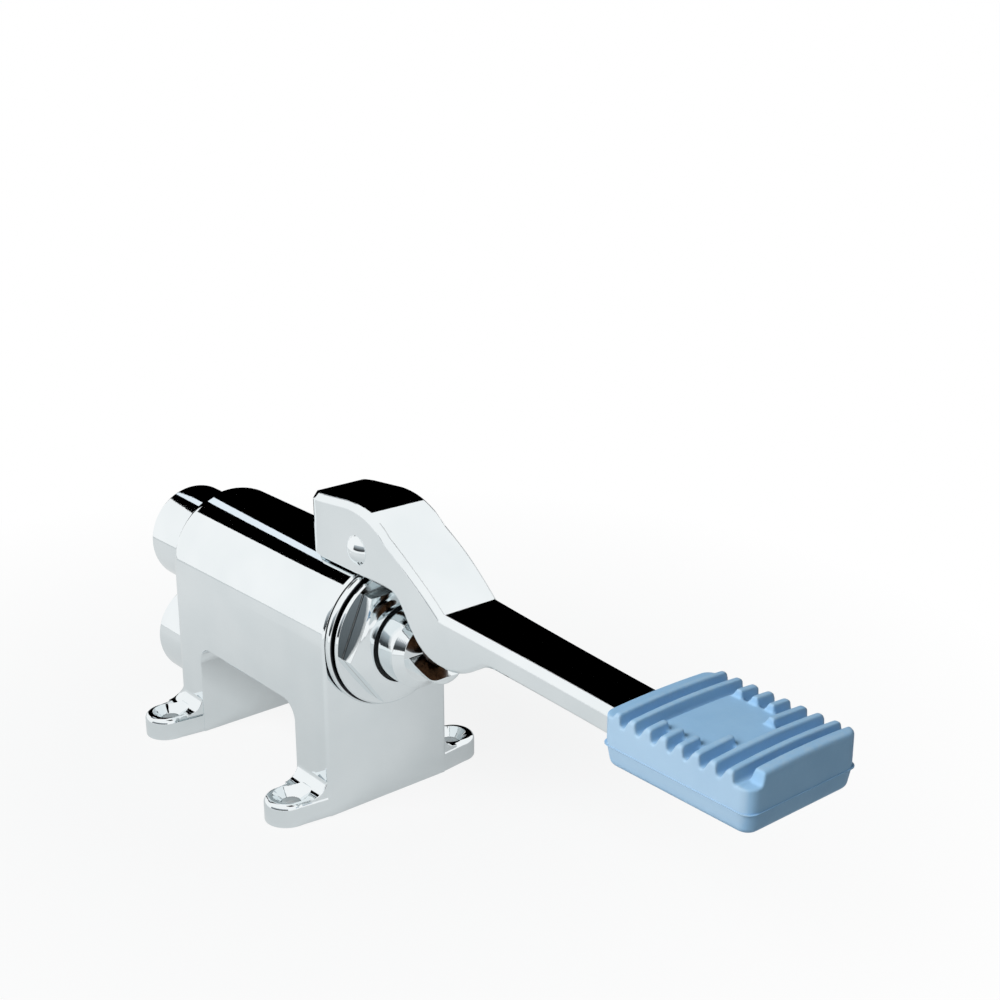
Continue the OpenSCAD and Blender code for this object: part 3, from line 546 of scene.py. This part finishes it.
def pick(piece, wanted):
    """Selects the vertices, edges or faces of a mesh in edit mode by a test on each vertex."""
    pick_nothing(piece)
    chosen = [wanted(v.co) for v in piece.data.vertices]
    piece.data.vertices.foreach_set("select", chosen)
    for edge in piece.data.edges:
        edge.select = all(chosen[k] for k in edge.vertices)
    for face in piece.data.polygons:
        face.select = all(chosen[k] for k in face.vertices)
    bpy.ops.object.mode_set(mode="EDIT")


def bar(name, x0, x1, y0, y1, z0, z1):
    """A block between two corners, with its place in its mesh, left in edit mode."""
    bpy.ops.object.mode_set(mode="OBJECT")
    bpy.ops.object.select_all(action="DESELECT")
    middle = ((x0 + x1) / 2, (y0 + y1) / 2, (z0 + z1) / 2)
    bpy.ops.mesh.primitive_cube_add(size=1, location=middle, scale=(x1 - x0, y1 - y0, z1 - z0))
    piece = bpy.context.view_layer.objects.active
    piece.name = name
    bpy.ops.object.transform_apply(location=True, rotation=True, scale=True)
    bpy.ops.object.mode_set(mode="EDIT")
    return piece


def work(piece, tool, operation):
    """Cuts a piece by a tool or joins the tool to it, and puts the tool away."""
    bpy.ops.object.mode_set(mode="OBJECT")
    bpy.ops.object.select_all(action="DESELECT")
    piece.select_set(True)
    bpy.context.view_layer.objects.active = piece
    change = piece.modifiers.new("change", "BOOLEAN")
    change.operation = operation
    change.solver = "EXACT"
    change.object = tool
    bpy.ops.object.modifier_apply(modifier="change")
    bpy.data.objects.remove(tool)


def channel(x0, x1):
    """A cutter for the channel between two crests: steep behind, sloping in front, and narrow
    at its foot."""
    cutter = bar("channel", x0, x1, -reach, reach, pad_top, crest + over)
    narrow = channel_foot / (x1 - x0)
    fixed = (x0 + steep / (1 - narrow), 0, pad_top)
    pick(cutter, lambda co: same(co.z, pad_top))
    bpy.ops.transform.resize(value=(narrow, 1, 1), center_override=fixed)
    return cutter


def rib_x(index):
    """The middle of a rib, counted from the back."""
    return pad_back + first_rib + index * rib_pitch


def standing(a, b):
    """Whether an edge of a block stands upright."""
    return same(a.x, b.x) and same(a.y, b.y)


pad = bar("rubber_pad", pad_back, pad_front, -pad_half, pad_half, pad_under, crest)
round_edges(pad, standing, corner, segments=8)
for level, bevel, segments in ((pad_under, foot_round, 5), (crest, brow_round, 4)):
    round_edges(pad, lambda a, b: same(a.z, level) and same(b.z, level), bevel, segments)
bpy.ops.mesh.select_all(action="SELECT")
bpy.ops.mesh.bisect(plane_co=(0, 0, parting), plane_no=(0, 0, 1))
pick(pad, lambda co: co.z < parting - hair)
centre = ((pad_back + pad_front) / 2, 0, parting)
bpy.ops.transform.resize(value=foot_draft, center_override=centre)

# The channels between the ribs, the ledge behind the first rib and the lip's free end.
for index in range(rib_count):
    next_crest = rib_x(index + 1) - rib_crest / 2
    if index == rib_count - 1:
        next_crest = pad_front - lip_long
    work(pad, channel(rib_x(index) + rib_crest / 2, next_crest), "DIFFERENCE")
ledge_end = rib_x(0) - rib_crest / 2 - ledge_run
ledge = bar("ledge", pad_back - over, ledge_end, -reach, reach, pad_top + ledge_tall, crest + over)
pick(ledge, lambda co: same(co.x, ledge_end) and co.z > crest)
bpy.ops.transform.translate(value=(ledge_run, 0, 0))
work(pad, ledge, "DIFFERENCE")
free_end = bar("free_end", pad_front - lip_long - over, pad_front + over, -reach, -lip_near,
               pad_top, crest + over)
pick(free_end, lambda co: same(co.y, -lip_near) and co.z > crest)
bpy.ops.transform.translate(value=(0, lip_slope, 0))
work(pad, free_end, "DIFFERENCE")

# The bare panel, as wide as three broken ribs leave it and narrower at the fourth.
panel = {2: panel_wide, 3: panel_wide, 4: panel_wide, 5: panel_narrow}
for index, wide in panel.items():
    x = rib_x(index)
    panel_end = x + rib_pitch / 2
    behind_rib = x - rib_pitch + rib_crest / 2 + steep + channel_foot / 2
    gap = bar("panel", behind_rib, panel_end, -wide / 2, wide / 2, pad_top, crest + over)
    pick(gap, lambda co: co.z > crest)
    bpy.ops.transform.resize(value=(1, 1 + panel_draft / wide, 1), center_override=(x, 0, crest))
    work(pad, gap, "DIFFERENCE")
    floor_plate = bar("floor_plate", x - rib_pitch / 2 - panel_tuck, panel_end,
                      -wide / 2 - panel_lap, wide / 2 + panel_lap,
                      pad_top - over, pad_top + panel_up)
    work(pad, floor_plate, "UNION")

# The mould's rounding of every edge.
melt = pad.modifiers.new("melt", "REMESH")
melt.mode = "VOXEL"
melt.voxel_size = mould_detail
bpy.ops.object.modifier_apply(modifier="melt")
soften = pad.modifiers.new("soften", "SMOOTH")
soften.factor = 0.5
soften.iterations = 8
bpy.ops.object.modifier_apply(modifier="soften")

# The crown: the top stands highest along the middle and falls towards both sides.
for point in pad.data.vertices:
    share = (point.co.z - parting) / (crest - parting)
    bow = 0.5 - (point.co.y / pad_half) ** 2
    point.co.z += crown * bow * min(max(share, 0.0), 1.0)

# The flash round the parting line.
flash = bar("flash", pad_back - flash_seen, pad_front + flash_seen,
            -pad_half - flash_seen, pad_half + flash_seen,
            parting - flash_thick / 2, parting + flash_thick / 2)
round_edges(flash, standing, flash_corner, segments=8)
work(pad, flash, "UNION")

# The pocket that the arm's tongue goes into, open at the back, with the arm's bevels along it.
pocket = bar("pocket", pad_back - 2 * over, tongue_end, -tongue_half, tongue_half,
             tongue_under, tongue_top)
for level, bevel in ((tongue_top, top_bevel), (tongue_under, under_bevel)):
    round_edges(pocket, lambda a, b: same(a.y, b.y) and same(a.z, level) and same(b.z, level),
                bevel, segments=1)
work(pad, pocket, "DIFFERENCE")
bpy.ops.object.shade_smooth_by_angle(angle=math.radians(50))


def blue_rubber(name):
    """Moulded pale blue rubber: cloudy colour, a matt mould skin, paler on top of the ribs as wear
    and painted highlight, and paler down the sides as painted sheen."""
    material, tree, shader, place = new_finish(name)
    clouds = noise(tree, place, scale=70.0, detail=4.0)
    body = shades(tree, clouds, dark=(0.285, 0.475, 0.685), light=(0.325, 0.520, 0.725))
    wire(tree, body, shader.inputs["Base Color"])
    axis = axes(tree, place)
    top = spread(tree, axis["Z"], low=0.0, high=1.0, start=crest - 0.0016, end=crest + 0.0002)
    scuff = noise(tree, place, scale=520.0, detail=6.0, rough=0.65)
    crest_rub_and_highlight = spread(tree, scuff, low=0.0, high=0.42, start=0.42, end=0.68)
    crest_wear_and_highlight = combine(tree, "MULTIPLY", top, crest_rub_and_highlight)
    across = tree.nodes.new("ShaderNodeMath")
    across.operation = "ABSOLUTE"
    wire(tree, axis["Y"], across.inputs[0])
    flank_sheen = spread(tree, across.outputs["Value"], low=0.0, high=0.45,
                   start=pad_half - 0.0012, end=pad_half - 0.0004)
    # Painted sheen down both sides, and on the rib tops part wear, part painted highlight.
    tint(tree, shader, combine(tree, "MAXIMUM", crest_wear_and_highlight, flank_sheen), colour=(0.47, 0.57, 0.66))
    wire(tree, spread(tree, scuff, low=0.46, high=0.64), shader.inputs["Roughness"])
    shader.inputs["Specular IOR Level"].default_value = 0.4
    skin = noise(tree, place, scale=1500.0)
    bump = relief(tree, shader, skin, depth=0.00006, strength=0.35)
    relief(tree, shader, clouds, depth=0.0003, strength=0.15, below=bump)
    return material


pad.data.materials.clear()
pad.data.materials.append(blue_rubber("pad_rubber"))
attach(pad, "pedal")
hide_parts("pedal_pad")

# Studio floor: pale matt paint that goes white away from the part and keeps its shadow.
# Bright metal mirrors it with painted shade close by, then a dark line, then white floor further
# off.


def mix_shaders(tree, share, first, second, output):
    """Two shaders mixed by a share and sent to an output."""
    node = tree.nodes.new("ShaderNodeMixShader")
    wire(tree, share, node.inputs["Fac"])
    wire(tree, first, node.inputs[1])
    wire(tree, second, node.inputs[2])
    wire(tree, node.outputs["Shader"], tree.nodes[output].inputs["Surface"])


bpy.ops.object.select_all(action="DESELECT")
bpy.ops.mesh.primitive_plane_add(size=60, location=(0, 0, 0))
floor = bpy.context.view_layer.objects.active
floor.name = "floor"
floor_paint, tree, shader, place = new_finish("floor_paint")
tree.nodes.remove(shader)
matt = tree.nodes.new("ShaderNodeBsdfDiffuse")
matt.inputs["Color"].default_value = (0.50, 0.51, 0.51, 1)
lit = tree.nodes.new("ShaderNodeEmission")
lit.inputs["Color"].default_value = (1, 1, 1, 1)
ray = tree.nodes.new("ShaderNodeLightPath").outputs
distance = tree.nodes.new("ShaderNodeVectorMath")
distance.operation = "LENGTH"
wire(tree, place, distance.inputs[0])
away = distance.outputs["Value"]
# Painted shade: what metal mirrors of the floor is dimmer the nearer it lies to the part.
near_floor_shade = spread(tree, away, low=0.30, high=0.56, start=0.04, end=0.17)
dark_edge = spread(tree, away, low=0.0, high=-0.30, start=0.30, end=0.335)
far_floor = spread(tree, away, low=0.0, high=0.74, start=0.337, end=0.352)
mirrored = combine(tree, "ADD", combine(tree, "ADD", near_floor_shade, dark_edge), far_floor)
mirrored = combine(tree, "MULTIPLY", mirrored, ray["Is Glossy Ray"])
white = spread(tree, away, low=0.88, high=1.0, start=0.08, end=0.30)
seen = combine(tree, "MULTIPLY", white, ray["Is Camera Ray"])
shine = combine(tree, "ADD", seen, mirrored)
mix_shaders(tree, shine, matt.outputs["BSDF"], lit.outputs["Emission"], "Material Output")
floor.data.materials.append(floor_paint)

# Studio cards: a black card stands behind the part with a strip light before it, a grey one stands
# on the camera's side, and the room is dark right above. Only mirrors see them.
upright = math.radians(90)
black = (0.0, 0.0, 0.0)
card_way = math.radians(157.5)
card_off = 0.40
card_wide = 0.966
card_tall = 0.60
card_along = -0.117
card_end = card_along + card_wide / 2
card_edge = ((0.140, 0.0), (0.205, 0.315), (0.298, 0.350), (0.362, 0.470), (0.393, 0.600))
edge_step = card_tall / (len(card_edge) - 1)
strip_off = card_off - 0.01
strip_along = 0.133
strip_up = 0.394
strip_size = 0.08
strip_corners = {(-1, -1): (0.085, 0.283), (1, -1): (0.135, 0.290),
                 (1, 1): (0.195, 0.460), (-1, 1): (0.120, 0.435)}
front_way = math.radians(-72)
front_off = 0.9
front_wide = 1.6
front_tall = 0.48
front_dark_up = 0.12


def card(name, middle, lean, turn, wide, tall, colour, strength):
    """A card that the camera and the soft light pass by: flat, then leant up and turned."""
    bpy.ops.object.select_all(action="DESELECT")
    bpy.ops.mesh.primitive_plane_add(size=1, location=middle, rotation=(lean, 0, turn))
    sheet = bpy.context.view_layer.objects.active
    sheet.name = name
    sheet.scale = (wide, tall, 1)
    bpy.ops.object.transform_apply(location=True, rotation=True, scale=True)
    surface = bpy.data.materials.new(name)
    surface.use_nodes = True
    tree = surface.node_tree
    glow = tree.nodes.new("ShaderNodeEmission")
    glow.inputs["Color"].default_value = (*colour, 1)
    glow.inputs["Strength"].default_value = strength
    wire(tree, glow.outputs["Emission"], tree.nodes["Material Output"].inputs["Surface"])
    sheet.data.materials.append(surface)
    sheet.visible_camera = False
    sheet.visible_diffuse = False
    sheet.visible_shadow = False
    sheet.visible_transmission = False
    return sheet


def behind(along, height, off):
    """A place on the black card's plane: along it, above the floor, and off from the part."""
    x = off * math.cos(card_way) - along * math.sin(card_way)
    y = off * math.sin(card_way) + along * math.cos(card_way)
    return (x, y, height)


def near(a, b):
    """Whether two places are one, to a millimetre."""
    return math.dist(a, b) < 0.001


def shape_card(sheet, off, moves):
    """Moves corners of a standing card, each given by its place along and above, before and
    after."""
    bpy.context.tool_settings.mesh_select_mode = (True, False, False)
    for before, after in moves:
        old_corner, new_corner = behind(*before, off), behind(*after, off)
        pick(sheet, lambda co: near(co, old_corner))
        bpy.ops.transform.translate(value=[b - a for a, b in zip(old_corner, new_corner)])
        bpy.ops.object.mode_set(mode="OBJECT")


black_card = card("black_card", behind(card_along, card_tall / 2, card_off), upright,
                  card_way + upright, card_wide, card_tall, black, strength=0.0)
card_foot = behind(card_end, 0.0, card_off)
pick_edges(black_card, lambda a, b: all(near(p.xy, card_foot[:2]) for p in (a, b)))
bpy.ops.mesh.subdivide(number_cuts=len(card_edge) - 2)
shape_card(black_card, card_off, [
    ((card_end, step * edge_step), after) for step, after in enumerate(card_edge)])

strip = card("strip_light", behind(strip_along, strip_up, strip_off), upright,
             card_way + upright, strip_size, strip_size, (0.88, 0.94, 1.0), strength=1.0)
shape_card(strip, strip_off, [
    ((strip_along + side * strip_size / 2, strip_up + rise * strip_size / 2), after)
    for (side, rise), after in strip_corners.items()])

front_place = (front_off * math.cos(front_way), front_off * math.sin(front_way), front_tall / 2)
dark_front = card("dark_front", front_place, upright, front_way + upright,
                  front_wide, front_tall, (0.86, 0.94, 1.0), strength=1.0)
tree = dark_front.data.materials[0].node_tree
height = axes(tree, tree.nodes.new("ShaderNodeTexCoord").outputs["Object"])["Z"]
glow = spread(tree, height, low=0.06, high=0.62, start=front_dark_up, end=front_tall)
wire(tree, glow, tree.nodes["Emission"].inputs["Strength"])
card("overhead_gap", middle=(0.25, 0.0, 0.95), lean=0.0, turn=0.0, wide=0.50, tall=0.26,
     colour=black, strength=0.0)

# Lights: a soft area light from the left, which mirrors don't show, and a pale room all round.
# The room is white to the camera and in mirrors, and lights matt surfaces by a dim blue sky.
bpy.ops.object.select_all(action="DESELECT")
bpy.ops.object.light_add(type="AREA", location=(0.02, -1.05, 1.00))
key = bpy.context.view_layer.objects.active
key.name = "key_light"
key.rotation_euler = (math.radians(48), 0, math.radians(-4))
key.data.shape = "RECTANGLE"
key.data.size = 1.1
key.data.size_y = 0.8
key.data.energy = 24.0
key.visible_glossy = False

room = bpy.data.worlds.new("room")
bpy.context.scene.world = room
room.use_nodes = True
tree = room.node_tree
ray = tree.nodes.new("ShaderNodeLightPath").outputs
clear = combine(tree, "MAXIMUM", ray["Is Camera Ray"], ray["Is Glossy Ray"])
clear = combine(tree, "MAXIMUM", clear, ray["Is Transmission Ray"])
soft = tree.nodes.new("ShaderNodeBackground")
soft.inputs["Color"].default_value = (0.57, 0.88, 1.0, 1)
soft.inputs["Strength"].default_value = 0.18
bright = tree.nodes["Background"]
bright.inputs["Color"].default_value = (1, 1, 1, 1)
bright.inputs["Strength"].default_value = 1.0
mix_shaders(tree, clear, soft.outputs["Background"], bright.outputs["Background"], "World Output")

# Camera: at the photograph's viewing angle, with the lens that the body's straight edges gave.
# It has no shift and no depth of field.
camera_down = 18.90
camera_turn = 49.99
lens = bpy.data.cameras.new("camera")
camera = bpy.data.objects.new("camera", lens)
bpy.context.scene.collection.objects.link(camera)
camera.location = (0.4527, -0.2877, 0.2761)
camera.rotation_euler = (math.radians(90 - camera_down), 0, math.radians(camera_turn))
lens.lens = 57.825
lens.sensor_width = 36.0
bpy.context.scene.camera = camera
bpy.context.scene.view_settings.view_transform = "Standard"
